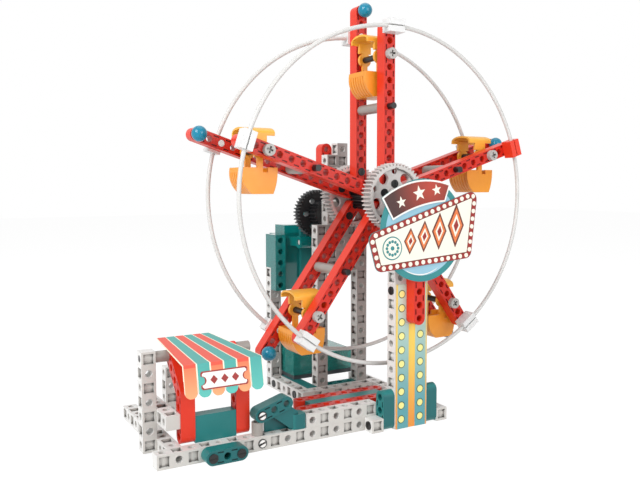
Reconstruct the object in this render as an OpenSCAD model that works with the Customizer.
/* [Building grid] */
// Width of a beam or rod, which is also the distance between two holes
pitch = 10; // [9.6:0.1:11]
// Diameter of the round holes
hole_d = 5; // [4.4:0.1:5.2]
// Side of the square pockets in the white beams
pocket_w = 7; // [6:0.2:7.4]
// Depth of the square pockets
pocket_deep = 2.2; // [1.8:0.1:2.4]
// Outer diameter of the round wall that crosses behind a pocket
wall_tube_d = 6.6; // [6.2:0.1:7]
// Length of the narrow slots along the edges of a rod
slot_l = 4.2; // [3:0.2:5]
// Width of those slots
slot_w = 0.9; // [0.6:0.1:1.2]
// Depth of those slots
slot_deep = 0.8; // [0.4:0.1:1.2]
// Distance from a slot to the edge of its rod
slot_edge = 1.2; // [1:0.1:1.6]

/* [Pins and shafts] */
// Gap between a shaft and its hole, measured on the radius
run_gap = 0.05; // [0.03:0.01:0.09]
// Diameter of a pin's head
pin_head_d = 6.4; // [5.8:0.2:7]
// Height of a pin's head
pin_head_h = 0.8; // [0.5:0.1:1.2]
// Width of the slot that splits a pin
pin_slot_w = 0.9; // [0.6:0.1:1.2]
// Outer diameter of the spacer tubes
spacer_d = 8; // [7:0.1:8.6]

/* [Wheel] */
// Diameter of the flexible ring tube
ring_tube_d = 3.2; // [2.6:0.2:4]
// Gap between the ring tube and the clip round it
ring_gap = 0.1; // [0.05:0.05:0.15]
// Depth from a spoke's outer face to the middle of the front ring tube
front_ring_depth = 6.25; // [5:0.25:7]
// Depth from a spoke's outer face to the middle of the rear ring tube
rear_ring_depth = 2.4; // [2.2:0.1:3.4]
// Length of a ring clip along the ring
clip_l = 14; // [12:1:18]
// Width of the slit in a ring clip
clip_slit_w = 1; // [0.6:0.1:1.6]
// Diameter of the balls on the rear spokes
ball_d = 11.6; // [10:0.2:12.4]

/* [Gears] */
// Gear module, the pitch diameter divided by the number of teeth
gear_module = 1; // [0.98:0.01:1.02]
// Play between two meshed teeth, taken off each tooth
tooth_play = 0.28; // [0.24:0.02:0.36]
// Thickness of the driven gears
gear_thick = 8; // [6:0.5:9]
// Radius of the worm at the middle of its thread
worm_mid_r = 4.5; // [4.4:0.05:4.6]
// Height of the worm's thread to either side of that radius
worm_swing = 1; // [0.8:0.05:1.05]

/* [Gondolas] */
// Length of a gondola along the wheel's axle
cab_l = 24; // [20:1:26]
// Width of a gondola's bucket at its rim
cab_w = 28; // [24:1:29]
// Width of the bucket at its floor
cab_floor_w = 13; // [10:1:16]
// Height from the shaft down to the bucket's rim
rim_drop = 12; // [11:0.5:13]
// Height from the shaft down to the bucket's floor
floor_drop = 31.4; // [28:0.2:31.6]
// Wall of the bucket
cab_wall = 1.6; // [1.2:0.1:2.2]
// Height from the shaft up to the roof's brim
brim_rise = 11; // [10:0.5:12]
// Height of the roof
roof_h = 6.4; // [5:0.2:7]
// Length of the vaulted roof across the shaft
roof_w = 24; // [20:1:26]
// Height of the roof's upright edges below its arch
eaves_h = 2; // [1.5:0.1:3]
// Number of ribs on the side of the bucket
ribs = 7; // [5:1:9]
// Width of the grooves between the ribs
groove_w = 0.9; // [0.6:0.1:1.2]
// Depth of those grooves
groove_deep = 0.6; // [0.4:0.1:0.8]
// Height of the plain band above the grooves
rim_band = 3.6; // [2.5:0.1:5]
// Thickness of the two hanger plates
hanger_t = 2.4; // [1.8:0.1:2.8]
// Width of a hanger plate below the shaft
hanger_w = 4.5; // [3.5:0.1:6]
// Width of a hanger plate under the roof
hanger_top_w = 11; // [9:0.5:13]
// Outer diameter of the ring round the shaft
shaft_ring_d = 11; // [9.5:0.1:12]
// Width of the notch beside a hanger plate
notch_w = 4; // [3:0.1:5]
// Depth of that notch
notch_h = 3.6; // [2.5:0.1:5]

/* [Booth] */
// Thickness of the printed cards
card_t = 0.8; // [0.5:0.1:1]
// Depth of the roof card from its front fold to its back edge
roof_depth = 62; // [56:1:66]
// Width of the roof card at the front fold
roof_front_w = 56.4; // [54:0.4:60]
// Width of the roof card at its back edge
roof_back_w = 40; // [36:1:46]
// Shift of that back edge to the left of the front fold
roof_skew = 6; // [0:0.5:8]
// Height of the hanging edge at the front
valance_h = 21.5; // [18:0.5:26]
// Height of the part of that edge that is cut into tabs
tab_cut_h = 12; // [8:1:16]
// Gap between two of the tabs
tab_gap = 0.5; // [0.3:0.1:0.8]
// Height of the counter above the front beam
counter_h = 18.6; // [17:0.2:22]

/* [Sign] */
// Diameter of the round card behind the sign
disc_d = 76.2; // [70:0.2:84]
// Width of the bulb strip card
strip_card_w = 28; // [26:1:30]

/* [Hidden] */

// How far a cut runs past the face that it goes through
over = 0.5;
// Diameter of a pin or shaft that runs in a round hole
pin_d = hole_d - 2 * run_gap;
// Clear distance between parts that move past each other
clear = 0.3;
// Seam between two pieces of one node that lie side by side
seam = 2 * run_gap;

// The wheel: number of spokes, places of the axle, and radii counted in holes
spokes = 5;
wheel_x = 19.5 * pitch;
wheel_z = 17.5 * pitch;
front_spoke_y = 2.5 * pitch;
rear_spoke_y = 6.5 * pitch;
front_holes = 13;
rear_holes = 15;
outer_hole_r = 2 * pitch;
inner_hole_r = pitch;
spacer_r = 7 * pitch;
shaft_r = 11 * pitch;
ring_r = 13 * pitch;
ball_r = 15 * pitch;
front_ring_y = 2 * pitch - front_ring_depth;
rear_ring_y = 7 * pitch + rear_ring_depth;
// Depth of the sunk web on the front of a hub gear, and the web's thickness
hub_sink = 3;
hub_web = 3;
button_d = 8.6;
button_h = 4;
cab_y = 4.5 * pitch;

// The drive: an idler that meshes with the gear on the axle, and a worm below it
small_teeth = 20;
large_teeth = 40;
hub_teeth = 50;
worm_turns = 4;
gear_centres = small_teeth * gear_module;
idler_share = [0.6, 0.8];
worm_x = wheel_x - idler_share[0] * gear_centres;
idler_x = worm_x;
idler_z = wheel_z - idler_share[1] * gear_centres;
line_angle = atan2(wheel_z - idler_z, wheel_x - idler_x);
worm_pitch_r = worm_mid_r + 0.5 * worm_swing;
worm_z = idler_z - large_teeth * gear_module / 2 - worm_pitch_r;
worm_y = 11.5 * pitch;
worm_l = worm_turns * PI * gear_module;
small_gear_y = 10 * pitch + clear / 2;
small_gear_l = pitch - clear;
large_gear_y = worm_y - gear_thick / 2;

// Motor unit: the corner and size of its case, with a square nose that holds the worm's shaft
case_wall = 1.5;
case_x = 16 * pitch;
case_y = 13.5 * pitch;
case_z = 9 * pitch;
case_size = [3 * pitch, 2.5 * pitch, 5 * pitch];
nose_d = 11;
nose_x = 16.5 * pitch;

// Battery box: its corner, the size of its low part and of the taller bay on it, and one cell
tray_t = 4;
box_off = 2;
box_x = 16 * pitch + box_off;
box_y = 12 * pitch;
box_z = pitch + tray_t;
box_size = [63, 47, 17.5];
tall_size = [33, 40, 36];
cell_d = 14.5;
cell_l = 50;

// The box of the whole toy, whose middle on the floor is the origin
left_edge = 0;
right_edge = wheel_x + ball_r * cos(18) + ball_d / 2;
front_edge = -2 * pitch - 2 * card_t;
back_edge = box_y + box_size[1];
mid_x = (left_edge + right_edge) / 2;
mid_y = (front_edge + back_edge) / 2;

// Booth: the arms lean back by half a right angle above their fourth hole
arm_lean = 45;
arm_y = 1.5 * pitch;
arm_bend_z = 4.5 * pitch;
arm_reach = 3 * pitch;
roof_shaft_y = arm_y + arm_reach * sin(arm_lean);
roof_shaft_z = arm_bend_z + arm_reach * cos(arm_lean);
roof_mid_x = 4.5 * pitch;
roof_ahead = 19;
roof_rise = 1;
roof_fold_y = arm_y - roof_ahead;
roof_fold_z = roof_shaft_z + roof_rise;
roof_slope = 6;
valance_lean = 11;
scallops = 6;

// Unit vector along one of the three axes
function unit(k) = [k == 0 ? 1 : 0, k == 1 ? 1 : 0, k == 2 ? 1 : 0];
// A place counted in cells of the building grid
function cell(x, y, z) = [x * pitch, y * pitch, z * pitch];
// Points of an arc round a place, between two angles
function round_end(mid, r, from, to) = let (steps = 16)
    [for (i = [0:steps]) let (a = from + (to - from) * i / steps) mid + r * [cos(a), sin(a)]];
// Direction of one spoke, counted anticlockwise from the right
function spoke_angle(i) = 90 + i * 360 / spokes;

// Puts what is drawn on the building grid at its place round the origin
module place() {
    translate([-mid_x, -mid_y, 0]) children();
}

// A round bar centred on the origin and lying along an axis
module round_bar(k, d, l) {
    turn = k == 0 ? [0, 90, 0] : (k == 1 ? [90, 0, 0] : [0, 0, 0]);
    rotate(turn) cylinder(h = l, d = d, center = true, $fn = 48);
}

// A flat outline in X and Z, as a plate that starts at y and is t thick
module plate_y(y, t) {
    translate([0, y + t, 0]) rotate([90, 0, 0]) linear_extrude(t) children();
}

// A square pocket in a beam's face, with the wall of the crossing hole left standing in it
module pocket(across, blank, side) {
    size = [for (k = [0:2]) k == blank ? pocket_deep + over : pocket_w];
    difference() {
        translate(unit(blank) * side * (pitch - pocket_deep + over) / 2) cube(size, center = true);
        round_bar(across, wall_tube_d, pitch);
    }
}

// A white beam from a corner along an axis; its holes take turns between the two other axes
module beam(corner, cells, run, hole_axis) {
    other = 3 - run - hole_axis;
    size = [for (k = [0:2]) k == run ? cells * pitch : pitch];
    translate(corner) difference() {
        cube(size);
        for (i = [0:cells - 1]) {
            across = i % 2 == 0 ? hole_axis : other;
            blank = 3 - run - across;
            translate((unit(run) * (i + 0.5) + (unit(across) + unit(blank)) / 2) * pitch) {
                round_bar(across, hole_d, pitch + 2 * over);
                for (side = [-1, 1]) pocket(across, blank, side);
            }
        }
    }
}

// The two pairs of narrow slots between two holes of a rod
module slots(run, across) {
    third = 3 - run - across;
    size = [for (k = [0:2]) k == run ? slot_l : (k == across ? slot_deep + over : slot_w)];
    for (side = [-1, 1], edge = [-1, 1]) {
        deep = side * (pitch - slot_deep + over) / 2;
        aside = edge * (pitch / 2 - slot_edge - slot_w / 2);
        translate(unit(across) * deep + unit(third) * aside) cube(size, center = true);
    }
}

// A coloured rod from its first hole along an axis, with its ends rounded about the holes
module rod_blank(start, cells, run, across) {
    long = (cells - 1) * pitch;
    size = [for (k = [0:2]) k == run ? long : pitch];
    translate(start + unit(run) * long / 2) cube(size, center = true);
    for (e = [0, 1]) translate(start + unit(run) * e * long) round_bar(across, pitch, pitch);
}
// Its holes, from the first one asked for, and the slots between them
module rod_cuts(start, cells, run, across, first = 0) {
    for (i = [first:cells - 1]) {
        translate(start + unit(run) * i * pitch) round_bar(across, hole_d, pitch + 2 * over);
    }
    for (i = [1:cells - 1]) translate(start + unit(run) * (i - 0.5) * pitch) slots(run, across);
}
module rod(start, cells, run, across) {
    difference() {
        rod_blank(start, cells, run, across);
        rod_cuts(start, cells, run, across);
    }
}

// A tube along an axis that slides over a shaft
module spacer(start, k, l) {
    translate(start + unit(k) * l / 2) difference() {
        round_bar(k, spacer_d, l);
        round_bar(k, hole_d, l + 2 * over);
    }
}

// A pin through holes from its first face, with a slotted head outside that face
module split_pin(start, k, l, way = -1) {
    slot = [for (j = [0:2]) j == k ? pin_head_h : (j == (k + 1) % 3 ? pin_slot_w : pin_head_d)];
    translate(start) difference() {
        union() {
            translate(-way * unit(k) * l / 2) round_bar(k, pin_d, l);
            translate(way * unit(k) * pin_head_h / 2) round_bar(k, pin_head_d, pin_head_h);
        }
        translate(way * unit(k) * pin_head_h) cube(slot, center = true);
    }
}

// Radius at which a tooth's flank is half as thick as the pitch allows, and its half angle
function tooth_half(r, teeth) = (gear_module * PI / 4 - tooth_play / 2
    - (r - teeth * gear_module / 2) * tan(20)) / r * 180 / PI;
// The six corners of one tooth, round an angle
function tooth(teeth, mid) = let (rp = teeth * gear_module / 2, r0 = rp - 1.15 * gear_module,
    r1 = rp + gear_module) [for (s = [[r0, -1], [rp, -1], [r1, -1], [r1, 1], [rp, 1], [r0, 1]])
        let (a = mid + s[1] * tooth_half(s[0], teeth)) s[0] * [cos(a), sin(a)]];
// Outline of a spur gear with a tooth at the given angle
module spur_outline(teeth, first) {
    polygon([for (i = [0:teeth - 1]) each tooth(teeth, first + i * 360 / teeth)]);
}

// A place on one spoke, with X outwards along the spoke and Y along the axle
module on_spoke(i) {
    translate([wheel_x, 0, wheel_z]) rotate([0, -spoke_angle(i), 0]) children();
}

module front_beam() color("white") place() beam(cell(0, 0, 0), 17, 0, 2);

module front_upper_beam() color("white") place() beam(cell(11, 0, 1), 6, 0, 1);

module left_base_beam() color("white") place() beam(cell(1, 1, 0), 11, 1, 2);

module rear_left_column() color("white") place() beam(cell(4, 10.5, 0), 4, 2, 1);

module booth_column() color("white") place() {
    top = roof_shaft_z + pitch / 2;
    beam([0, roof_shaft_y - pitch / 2, top - 7 * pitch], 7, 2, 0);
}

module booth_rail() color("white") place() {
    beam([pitch, roof_shaft_y - 2.5 * pitch, roof_shaft_z - 4.5 * pitch], 6, 1, 0);
}

// One bent arm of the booth, with its holes along X
module booth_arm(x) {
    foot_z = 1.5 * pitch;
    side_r = pitch / 2;
    inner = side_r * [1, -tan(arm_lean / 2)];
    tip = arm_reach * [sin(arm_lean), cos(arm_lean)];
    outline = concat(
        round_end([0, foot_z - arm_bend_z], side_r, 180, 360), [inner],
        round_end(tip, side_r, -arm_lean, 180 - arm_lean),
        round_end([0, 0], side_r, 180 - arm_lean, 180));
    translate([x, arm_y, arm_bend_z]) difference() {
        rotate([90, 0, 90]) linear_extrude(pitch, center = true) polygon(outline);
        rod_cuts([0, 0, foot_z - arm_bend_z], 4, 2, 0);
        rotate([-arm_lean, 0, 0]) rod_cuts([0, 0, 0], 4, 2, 0, 1);
    }
}
module booth_arms() color("orangered") place() for (k = [2.5, 6.5]) booth_arm(k * pitch);

booth_shaft_tip = 1;
module booth_shaft() color("dimgray") place() {
    shaft_l = 8 * pitch + booth_shaft_tip;
    translate([shaft_l / 2, roof_shaft_y, roof_shaft_z]) round_bar(0, pin_d, shaft_l);
}

// Three tubes: two over the booth's shaft, and one that stands under the tilted bracket
module front_spacers() color("gray") place() {
    tube_back = 1.6;
    tube_h = ramp_start[2] - 1.5 * pitch - seam;
    spacer([pitch, roof_shaft_y, roof_shaft_z], 0, pitch);
    spacer([7 * pitch, roof_shaft_y, roof_shaft_z], 0, pitch + booth_shaft_tip);
    spacer([ramp_start[0] - tube_back, pitch / 2, pitch], 2, tube_h);
}

module booth_counter() color("teal") place() {
    deep = 9;
    wall = 1.6;
    face_y = arm_y - deep / 2;
    difference() {
        translate([3 * pitch, face_y, pitch]) cube([3 * pitch, deep, counter_h]);
        for (k = [3:5]) {
            translate([k * pitch + wall, face_y + wall, pitch + wall])
                cube([pitch - 2 * wall, deep, counter_h - 2 * wall]);
        }
        for (x = [3, 6], z = [1.5, 2.5]) {
            translate([x * pitch, arm_y, z * pitch]) round_bar(0, hole_d, pitch);
        }
    }
}

module booth_roof() color("coral") place() {
    tab_w = roof_front_w / scallops;
    tab_r = (tab_w - tab_gap) / 2;
    tab_top = tab_cut_h - valance_h;
    back = roof_depth * [cos(roof_slope), sin(roof_slope)];
    hem = -valance_h * [sin(valance_lean), cos(valance_lean)];
    up = card_t * [-sin(roof_slope), cos(roof_slope)];
    out = card_t * [-cos(valance_lean), sin(valance_lean)];
    fold = (up + out) / (1 + up * out / (card_t * card_t));
    translate([roof_mid_x, roof_fold_y + card_t, roof_fold_z]) difference() {
        rotate([90, 0, 90]) linear_extrude(roof_front_w, center = true)
            polygon([[0, 0], back, back + up, fold, hem + out, hem]);
        for (side = [-1, 1]) translate([0, 0, -valance_h]) linear_extrude(3 * valance_h) polygon([
            [side * roof_front_w / 2, 2 * card_t], [side * roof_back_w / 2 - roof_skew, back[0] + over],
            [side * roof_front_w, back[0] + over], [side * roof_front_w, 2 * card_t]]);
        plate_y(-valance_h, 2 * valance_h) difference() {
            translate([-roof_front_w, -2 * valance_h]) square([2 * roof_front_w, 2 * valance_h + tab_top]);
            for (i = [0:scallops - 1]) {
                translate([(i + 0.5) * tab_w - roof_front_w / 2, hem[1] + tab_r]) {
                    translate([-tab_r, 0]) square([2 * tab_r, valance_h]);
                    circle(r = tab_r, $fn = 48);
                }
            }
        }
    }
}

module front_connector() color("teal") place() rod(cell(3.5, -0.5, 0.5), 3, 0, 1);

// The tilted three-hole bracket over the front beam, with its foot at the end of the ramp
ramp_tilt = 17;
ramp_drop = 0.5;
ramp_start = cell(7.5, 0.5, 2.5) - [0, 0, ramp_drop];
// Upper corners of its web and of the wall behind, counted from its first hole
web_share = [[0.85, -0.22], [1.6, 0.4], [2.15, 0.45]];
wall_share = [[0.5, -0.13], [2.1, 0.35]];
module ramp_bracket() color("teal") place() {
    foot_h = 11;
    foot_hole = 8;
    foot_d = 12;
    foot_x = 11 * pitch - foot_d / 2;
    foot_edge = 2.5;
    web = 1.5;
    web_h = 12.5;
    wall_t = 2;
    wall_back = 1;
    from = [ramp_start[0], ramp_start[2]];
    wall = [for (s = wall_share) from + pitch * s];
    difference() {
        union() {
            translate(ramp_start) rotate([0, -ramp_tilt, 0]) rod([0, 0, 0], 3, 0, 1);
            translate([0, 0, pitch]) linear_extrude(foot_h) hull() {
                translate([foot_x, foot_d / 2]) circle(d = foot_d, $fn = 48);
                translate([11 * pitch - foot_edge, foot_edge]) circle(r = foot_edge, $fn = 32);
            }
            plate_y(web, pitch - 2 * web) polygon(concat([for (s = web_share) from + pitch * s], [
                [foot_x, pitch + web_h], [foot_x, pitch + web],
                [foot_x - foot_d / 2 - over, pitch + web]]));
            plate_y(pitch - wall_t - wall_back, wall_t) polygon([
                wall[0], wall[1], [foot_x, 2 * pitch], [foot_x, pitch + seam],
                [wall[0][0], pitch + seam]]);
        }
        translate([foot_x, foot_d / 2, pitch]) cylinder(h = foot_hole, d = hole_d, $fn = 48);
        translate(ramp_start) rotate([0, -ramp_tilt, 0]) {
            translate([2 * pitch, 0, 0]) round_bar(1, hole_d, 3 * pitch);
        }
    }
}

module ramp_rods() color("orangered") place() {
    rod(cell(11.5, 1.5, 1.5), 8, 0, 2);
    rear_shift = 2;
    rod(cell(12.5, 3.5, 1.5) - [rear_shift, 0, 0], 8, 0, 2);
}

module ramp_plate() color("teal") place() difference() {
    translate(cell(12.5, 2, 1)) cube([6.5 * pitch, pitch, pitch]);
    for (i = [0:5]) translate(cell(13 + i, 2.5, 1.5)) round_bar(1, hole_d, 2 * pitch);
}

module post_columns() color("white") place() for (x = [18, 20]) beam(cell(x, -1, 0), 15, 2, 0);

module post_core_beam() color("white") place() beam(cell(19, -1, 8), 7, 2, 0);

module small_beams() color("white") place() {
    beam(cell(16, -1, 0), 1, 2, 0);
    beam(cell(22, -1, 0), 1, 2, 0);
    beam(cell(2, 10.5, 0), 2, 0, 2);
    beam(cell(18, 9, 15), 2, 2, 0);
}

module post_braces() color("teal") place() for (x = [17.5, 21.5]) rod(cell(x, -0.5, 0.5), 3, 2, 0);

module strip_card() color("cadetblue") place() {
    strip_h = 11 * pitch;
    riser_z = 8 * pitch - clear;
    channel_w = 6;
    channel_deep = 0.3;
    face_y = -pitch - card_t;
    difference() {
        translate([wheel_x - strip_card_w / 2, face_y, 0]) cube([strip_card_w, card_t, strip_h]);
        translate([wheel_x - pitch / 2 - clear, face_y - over, riser_z])
            cube([pitch + 2 * clear, card_t + 2 * over, strip_h]);
        translate([wheel_x - channel_w / 2, face_y - over, -over])
            cube([channel_w, channel_deep + over, strip_h + 2 * over]);
    }
}

module axle_riser() color("orangered") place() rod(cell(19.5, -1.5, 8.5), 10, 2, 1);

// Points along a shallow arc from one place to another, with its rise to the left
function arc(a, b, rise, steps) = let (d = b - a, left = [-d[1], d[0]] / norm(d))
    [for (i = [0:steps]) let (t = i / steps) a + d * t + left * rise * 4 * t * (1 - t)];

// The die-cut card: a disc, with an arched banner and a slanted board printed on a second layer
banner_share = [[-3.55, 2.48], [2.65, 3.45], [2.18, 2.15], [-2.58, 0.86]];
board_share = [[-4, -0.52], [-3.51, -2.22], [4.21, -1.62], [4.67, 2.27]];
module sign_card() color("cadetblue") place() {
    disc_z = 15 * pitch;
    corner_r = 6;
    top_rise = 7.6;
    low_rise = 2.8;
    disc_mid = [2.1, 0.7];
    front = -2 * pitch;
    translate([wheel_x, 0, disc_z]) {
        plate_y(front - card_t, card_t) translate(disc_mid) circle(d = disc_d, $fn = 96);
        plate_y(front - 2 * card_t, card_t) polygon(concat(
            arc(pitch * banner_share[0], pitch * banner_share[1], top_rise, 12),
            arc(pitch * banner_share[2], pitch * banner_share[3], -low_rise, 12)));
        plate_y(front - 2 * card_t, card_t) hull() {
            for (s = board_share) translate(pitch * s) circle(r = corner_r, $fn = 32);
        }
    }
}

module tower_cross_beam() color("white") place() beam(cell(16, 8, 0), 6, 0, 2);

module tower_left_beam() color("white") place() beam(cell(15, 8, 0), 7, 1, 2);

module tower_right_beam() color("white") place() beam(cell(22, 0, 0), 12, 1, 2);

module tower_rail() color("teal") place() rod(cell(16.5, 9.5, 0.5), 6, 1, 0);

module tower_foot_rod() color("teal") place() rod(cell(17.5, 9.5, 0.5), 5, 0, 2);

module tower_column_left() color("white") place() beam(cell(17, 9, 1), 14, 2, 1);

module tower_column_right() color("white") place() beam(cell(21, 9, 1), 14, 2, 1);

module tower_column_centre() color("white") place() beam(cell(19, 9, 15), 7, 2, 1);

module tower_step_beams() color("white") place() {
    for (k = [0:3]) beam(cell(18, 9, 14 - k) - [0, 0, k * seam], 3, 0, 2);
    beam(cell(18, 9, 20), 1, 2, 0);
}

module tower_rods() color("orangered") place() {
    rod_drop = 7.5;
    rod(cell(18.5, 10.5, 19.5), 3, 2, 1);
    rod(cell(18.5, 11.5, 19.5) + [0, seam, -rod_drop], 2, 2, 1);
}

module rear_column() color("white") place() beam(cell(15, 14, 1), 10, 2, 0);

// The clear case, with a drilled mounting strip on its left
module motor_case() color("teal", 0.7) place() {
    cap_inset = 3;
    cap_h = 8;
    arm = 8;
    arm_edge = 1;
    difference() {
        union() {
            translate([case_x, case_y, case_z]) cube(case_size);
            translate(cell(15, 13, 9)) cube(cell(1, 1, 5));
            translate(cell(15, 14, 11)) cube(cell(1, 1, 3));
            translate([case_x + cap_inset, case_y + cap_inset, case_z + case_size[2]])
                cube([case_size[0] - 2 * cap_inset, case_size[1] - 2 * cap_inset, cap_h]);
            translate([nose_x + arm_edge, worm_y, worm_z - arm / 2]) cube([arm, case_y - worm_y, arm]);
            translate([nose_x + pitch / 2, worm_y, worm_z]) round_bar(0, nose_d, pitch);
        }
        translate([case_x + case_wall, case_y + case_wall, case_z + case_wall])
            cube(case_size + [-2 * case_wall, 0, -2 * case_wall]);
        translate([nose_x + pitch / 2 + over, worm_y, worm_z]) round_bar(0, hole_d, pitch + 2 * over);
        for (i = [0:4]) translate(cell(15.5, 13.5, 9.5 + i)) round_bar(1, hole_d, pitch + 2 * over);
    }
}

module motor_core() color("dimgray") place() {
    low = [case_x + case_wall + clear, case_y + case_wall + clear, case_z + case_wall];
    box_deep = 22;
    box_h = 18;
    can_d = 20;
    can_h = 26;
    translate(low) cube([case_size[0] - 2 * case_wall - 2 * clear, box_deep, box_h]);
    translate([case_x + case_size[0] / 2, low[1] + box_deep / 2, low[2] + box_h])
        cylinder(h = can_h, d = can_d, $fn = 48);
}

module motor_cover() color("dimgray") place() {
    cover_t = 3;
    slot = [10, 3, 6];
    slot_z = 12;
    cover_y = case_y + case_size[1];
    difference() {
        translate([case_x, cover_y, case_z]) cube([case_size[0], cover_t, case_size[2]]);
        translate([case_x + case_size[0] / 2, cover_y + cover_t, case_z + slot_z]) cube(slot, center = true);
    }
}

// Bearing plate on the front of the motor unit, for the rear end of the idler's shaft
module gear_bearing() color("gray") place() {
    boss_d = 14;
    plate_t = 4;
    boss_gap = 1;
    boss_y = 12 * pitch + boss_gap;
    foot_z = 10 * pitch;
    difference() {
        union() {
            plate_y(case_y - plate_t, plate_t) {
                translate([idler_x - boss_d / 2, foot_z]) square([boss_d, idler_z - foot_z]);
                translate([idler_x, idler_z]) circle(d = boss_d, $fn = 48);
            }
            plate_y(boss_y, case_y - boss_y)
                translate([idler_x, idler_z]) circle(d = boss_d, $fn = 48);
        }
        translate([idler_x, case_y - boss_d / 2, idler_z]) round_bar(1, hole_d, 3 * pitch);
    }
}

// The battery box is a clear cover over three cells that lie across it, on a dark tray
module battery_case() color("teal", 0.7) place() difference() {
    union() {
        translate([box_x, box_y, box_z]) cube(box_size);
        translate([box_x, box_y, box_z]) cube(tall_size);
    }
    translate([box_x + case_wall, box_y + case_wall, box_z - over])
        cube(box_size + [-2 * case_wall, -2 * case_wall, over - case_wall]);
    translate([box_x + case_wall, box_y + case_wall, box_z])
        cube(tall_size + [-2 * case_wall, -2 * case_wall, -case_wall]);
}

module battery_base() color("dimgray") place() {
    edge = 1;
    translate([box_x + edge, box_y + edge, box_z - tray_t])
        cube([box_size[0] - 2 * edge, box_size[1] - 2 * edge, tray_t]);
    for (i = [0:2]) {
        translate([box_x + case_wall + clear + cell_l / 2, box_y + case_wall + clear
            + cell_d * (i + 0.5), box_z + cell_d / 2]) round_bar(0, cell_d, cell_l);
    }
}

module joint_pins() color("black") place() {
    for (x = [3.5, 5.5]) split_pin(cell(x, -1, 0.5), 1, 2 * pitch);
    split_pin(cell(7.5, 0, 0.5), 1, pitch);
    split_pin(ramp_start - [0, pitch / 2, 0], 1, pitch);
    split_pin(cell(16, -0.5, 0.5), 0, 3 * pitch);
    split_pin(cell(23, -0.5, 0.5), 0, 3 * pitch, 1);
    for (y = [9.5, 13.5]) split_pin(cell(15, y, 0.5), 0, 2 * pitch);
    for (z = [10.5, 12.5]) split_pin(cell(18, -0.5, z), 0, 3 * pitch);
    for (z = [11.5, 13.5]) split_pin(cell(19.5, 0, z), 1, 2 * pitch, 1);
}

// Spokes: five in front and five behind, side by side round the axle
module spoke_set(y, holes) {
    for (i = [0:spokes - 1]) on_spoke(i) rod([inner_hole_r, y, 0], holes, 0, 1);
}
module front_spokes() color("orangered") place() spoke_set(front_spoke_y, front_holes);
module rear_spokes() color("orangered") place() spoke_set(rear_spoke_y, rear_holes);

// A ring round the axle, as thick as the given tube
module ring_tube(y, d) {
    translate([wheel_x, y, wheel_z]) rotate([90, 0, 0])
        rotate_extrude($fn = 180) translate([ring_r, 0]) circle(d = d, $fn = 32);
}
module rings() color("white") place() {
    ring_tube(front_ring_y, ring_tube_d);
    ring_tube(rear_ring_y, ring_tube_d);
}

// A clip block that holds the ring tube and plugs into a spoke; way is -1 in front, 1 behind
module ring_clip(i, face_y, ring_y, way) {
    stem_l = pitch - over;
    difference() {
        on_spoke(i) {
            translate([ring_r, face_y + way * pitch / 2, 0]) cube([pitch, pitch, clip_l], center = true);
            translate([ring_r, face_y - way * stem_l / 2, 0]) round_bar(1, pin_d, stem_l + 2 * over);
        }
        ring_tube(ring_y, ring_tube_d + 2 * ring_gap);
        on_spoke(i) {
            slit_l = way * (face_y + way * pitch - ring_y) + over;
            translate([ring_r, face_y + way * (pitch + over - slit_l / 2), 0])
                cube([clip_slit_w, slit_l, clip_l + 2 * over], center = true);
        }
    }
}
module ring_clips() color("white") place() for (i = [0:spokes - 1]) {
    ring_clip(i, front_spoke_y - pitch / 2, front_ring_y, -1);
    ring_clip(i, rear_spoke_y + pitch / 2, rear_ring_y, 1);
}

module spoke_spacers() color("gray") place() {
    gap_l = rear_spoke_y - front_spoke_y - pitch;
    for (i = [0:spokes - 1]) on_spoke(i) {
        spacer([spacer_r, front_spoke_y + pitch / 2, 0], 1, gap_l);
    }
}

// Black pins: through the spacers, and through both hubs into the spokes
module spoke_pins() color("black") place() for (i = [0:spokes - 1]) on_spoke(i) {
    tip = 6;
    front_face = front_spoke_y - pitch / 2;
    rear_face = rear_spoke_y + pitch / 2;
    translate([spacer_r, (front_face + rear_face - tip) / 2, 0])
        round_bar(1, pin_d, rear_face - front_face + tip);
    web_front = front_face - pitch + hub_sink;
    web_back = rear_face + hub_sink + hub_web;
    split_pin([inner_hole_r, web_front, 0], 1, 2 * pitch - hub_sink);
    split_pin([inner_hole_r, web_back, 0], 1, pitch + hub_sink + hub_web, 1);
    split_pin([outer_hole_r, rear_face - pitch, 0], 1, pitch + hub_sink + hub_web / 2);
}

module ball_caps() color("deepskyblue") place() for (i = [0:spokes - 1]) on_spoke(i) {
    face_y = rear_spoke_y - pitch / 2;
    sink = 0.8;
    stem_l = 9;
    root = 2;
    difference() {
        translate([ball_r, face_y - ball_d / 2 + sink, 0]) sphere(d = ball_d, $fn = 48);
        translate([ball_r, face_y + pitch / 2, 0]) cube(pitch * [2, 1, 2], center = true);
    }
    translate([ball_r, face_y + (stem_l - root) / 2, 0]) round_bar(1, pin_d, stem_l + root);
}

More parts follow.
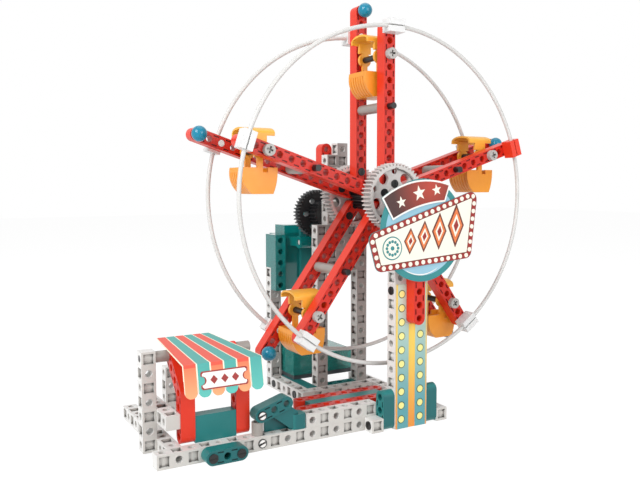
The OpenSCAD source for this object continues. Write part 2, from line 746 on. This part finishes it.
// A hub gear, whose thin web with holes and windows lies sunk between its rim and its centre
module hub_wheel(front_y) {
    rim_d = 43;
    centre_d = 13;
    window_d = 8.6;
    window_r = 16.8;
    back_sink = pitch - hub_sink - hub_web;
    difference() {
        translate([wheel_x, 0, wheel_z]) plate_y(front_y, pitch) spur_outline(hub_teeth, 0);
        translate([wheel_x, 0, wheel_z]) {
            plate_y(front_y - over, hub_sink + over) difference() {
                circle(d = rim_d, $fn = 96);
                circle(d = centre_d, $fn = 48);
            }
            plate_y(front_y + pitch - back_sink, back_sink + over) difference() {
                circle(d = rim_d, $fn = 96);
                circle(d = centre_d, $fn = 48);
            }
        }
        translate([wheel_x, front_y, wheel_z]) round_bar(1, hole_d, 3 * pitch);
        for (i = [0:spokes - 1]) on_spoke(i) {
            for (r = [inner_hole_r, outer_hole_r]) {
                translate([r, front_y, 0]) round_bar(1, hole_d, 3 * pitch);
            }
            rotate([0, 180 / spokes, 0]) translate([window_r, front_y, 0]) round_bar(1, window_d, 3 * pitch);
        }
    }
}
module hub_gear() color("lightgray") place() hub_wheel(front_spoke_y - 1.5 * pitch);
module rear_hub_gear() color("lightgray") place() hub_wheel(rear_spoke_y + pitch / 2);

// Black core: a long pinion between the two sets of spokes, with a boss through each set
module hub_core() color("black") place() {
    boss_d = 9;
    front = front_spoke_y - pitch / 2;
    back = rear_spoke_y + pitch / 2;
    difference() {
        translate([wheel_x, 0, wheel_z]) {
            plate_y(front + pitch, back - front - 2 * pitch) spur_outline(small_teeth, 0);
            plate_y(front, back - front) circle(d = boss_d, $fn = 48);
        }
        translate([wheel_x, (front + back) / 2, wheel_z]) round_bar(1, hole_d, back - front + 2 * over);
    }
}

// The axle, with a spacer tube in front and a black collar behind
module wheel_axle() color("black") place() {
    collar_d = 16;
    front = -2 * pitch + clear;
    back = large_gear_y - 2 * clear;
    front_gap = 2 * pitch - 2 * clear;
    rear_gap = pitch - 2 * clear;
    translate([wheel_x, (front + back) / 2, wheel_z]) round_bar(1, pin_d, back - front);
    spacer([wheel_x, -pitch + clear, wheel_z], 1, front_gap);
    translate([wheel_x, 8 * pitch + clear + rear_gap / 2, wheel_z]) difference() {
        round_bar(1, collar_d, rear_gap);
        round_bar(1, hole_d, rear_gap + 2 * over);
    }
}

module axle_gear() color("lightgray") place() difference() {
    translate([wheel_x, 0, wheel_z]) plate_y(small_gear_y, small_gear_l)
        spur_outline(small_teeth, line_angle + 180 + 180 / small_teeth);
    translate([wheel_x, small_gear_y, wheel_z]) round_bar(1, hole_d, 3 * pitch);
}

// The shafts that carry the gondolas, with grey buttons on their front ends
module gondola_shafts() color("black") place() for (i = [0:spokes - 1]) on_spoke(i) {
    front_face = front_spoke_y - pitch / 2;
    shaft_l = rear_spoke_y - front_spoke_y + pitch;
    cross_w = 1.4;
    cross_l = 5;
    translate([shaft_r, front_face + shaft_l / 2, 0]) round_bar(1, pin_d, shaft_l);
    difference() {
        translate([shaft_r, front_face - button_h / 2, 0]) round_bar(1, button_d, button_h);
        for (turn = [0, 90]) translate([shaft_r, front_face - button_h, 0]) rotate([0, turn, 0])
            cube([cross_l, button_h, cross_w], center = true);
    }
}

// Outline of a bucket from the side: both sides bow out, the ribbed one more than the other
bow = 3.2;
far_bow = 1.2;
far_floor = 4;
function bucket_edge(inset) = let (rim = cab_w / 2 - inset, low = -floor_drop + inset,
    floor_x = cab_floor_w / 2 - inset) concat(
    arc([-floor_x, low], [-rim, -rim_drop], bow, 8),
    arc([rim, -rim_drop], [floor_x + far_floor, low], far_bow, 6));
// Outline of the vaulted roof from its end: upright edges with an arch between them
function vault_edge(inset, foot) = let (half = cab_l / 2 - inset, rise = roof_h - eaves_h - inset)
    concat([[-half, foot]],
        [for (t = [0:15:180]) [-half * cos(t), brim_rise + eaves_h + rise * sin(t)]],
        [[half, foot]]);
// One gondola round its shaft, which runs along Y at the origin
module gondola(i) {
    rib_pitch = cab_l / ribs;
    start = -cab_l / 2;
    angle = spoke_angle(i);
    translate([wheel_x + shaft_r * cos(angle), cab_y, wheel_z + shaft_r * sin(angle)]) {
        difference() {
            plate_y(start, cab_l) polygon(bucket_edge(0));
            plate_y(start + cab_wall, cab_l - 2 * cab_wall) union() {
                polygon(bucket_edge(cab_wall));
                translate([-cab_w / 2 + cab_wall, -rim_drop - over]) square([cab_w - 2 * cab_wall, 2 * over]);
            }
            for (k = [1:ribs - 1]) {
                plate_y(start + k * rib_pitch - groove_w / 2, groove_w) difference() {
                    polygon(bucket_edge(-over));
                    polygon(bucket_edge(groove_deep));
                    translate([0, -floor_drop - cab_l]) square(2 * cab_l);
                    translate([-cab_l, -rim_drop - rim_band]) square(2 * cab_l);
                }
            }
            plate_y(start - over, cab_l + 2 * over) translate([hanger_w / 2, -rim_drop - notch_h])
                square([notch_w, notch_h + over]);
        }
        for (side = [0, 1]) difference() {
            plate_y(side == 0 ? start : -start - hanger_t, hanger_t) {
                circle(d = shaft_ring_d, $fn = 48);
                translate([-hanger_w / 2, -rim_drop - hanger_w]) square([hanger_w, rim_drop + hanger_w]);
                translate([-hanger_top_w / 2, shaft_ring_d / 2 - over])
                    square([hanger_top_w, brim_rise + eaves_h - shaft_ring_d / 2 + over]);
            }
            round_bar(1, hole_d, 2 * cab_l);
        }
        rotate([90, 0, 90]) linear_extrude(roof_w, center = true) difference() {
            polygon(vault_edge(0, brim_rise));
            polygon(vault_edge(cab_wall, brim_rise - over));
        }
    }
}
module gondola_1() color("gold") place() gondola(0);
module gondola_2() color("gold") place() gondola(1);
module gondola_3() color("gold") place() gondola(2);
module gondola_4() color("gold") place() gondola(3);
module gondola_5() color("gold") place() gondola(4);

// Black gear and its pinion, moulded on one shaft
module idler_gears() color("dimgray") place() {
    hole_r = 12.5;
    back = case_y - 2 * clear;
    front = 10 * pitch + clear;
    difference() {
        translate([idler_x, 0, idler_z]) plate_y(large_gear_y, gear_thick)
            spur_outline(large_teeth, 180 / large_teeth);
        for (turn = [0:5]) translate([idler_x, large_gear_y, idler_z]) rotate([0, turn * 60, 0])
            translate([hole_r, 0, 0]) round_bar(1, hole_d, 3 * pitch);
    }
    translate([idler_x, 0, idler_z]) plate_y(small_gear_y, small_gear_l)
        spur_outline(small_teeth, line_angle);
    translate([idler_x, (front + back) / 2, idler_z]) round_bar(1, pin_d, back - front);
    translate([idler_x, (small_gear_y + large_gear_y) / 2, idler_z])
        round_bar(1, pitch, large_gear_y - small_gear_y);
}

// Worm on the motor's shaft: an off-centre circle that winds along the shaft
module worm() color("white") place() translate([worm_x, worm_y, worm_z]) {
    tip = 3;
    inset = 1;
    collar_d = 6.6;
    shaft_start = nose_x + inset - worm_x;
    shaft_end = worm_l / 2 + tip;
    collar_start = nose_x + pitch + clear - worm_x;
    rotate([0, 90, 0]) linear_extrude(worm_l, center = true, twist = -360 * worm_turns,
        slices = 12 * worm_turns) translate([-worm_swing, 0]) circle(r = worm_mid_r, $fn = 20);
    translate([(shaft_start + shaft_end) / 2, 0, 0]) round_bar(0, pin_d, shaft_end - shaft_start);
    translate([(collar_start - worm_l / 2) / 2, 0, 0])
        round_bar(0, collar_d, -worm_l / 2 - collar_start);
}

front_beam();
front_upper_beam();
left_base_beam();
rear_left_column();
booth_column();
booth_rail();
booth_arms();
booth_shaft();
front_spacers();
booth_counter();
booth_roof();
front_connector();
ramp_bracket();
ramp_rods();
ramp_plate();
post_columns();
post_core_beam();
small_beams();
post_braces();
strip_card();
axle_riser();
sign_card();
tower_cross_beam();
tower_left_beam();
tower_right_beam();
tower_rail();
tower_foot_rod();
tower_column_left();
tower_column_right();
tower_column_centre();
tower_step_beams();
tower_rods();
rear_column();
motor_case();
motor_core();
motor_cover();
gear_bearing();
battery_case();
battery_base();
joint_pins();
front_spokes();
rear_spokes();
rings();
ring_clips();
spoke_spacers();
spoke_pins();
ball_caps();
hub_gear();
rear_hub_gear();
hub_core();
wheel_axle();
axle_gear();
gondola_shafts();
gondola_1();
gondola_2();
gondola_3();
gondola_4();
gondola_5();
idler_gears();
worm();
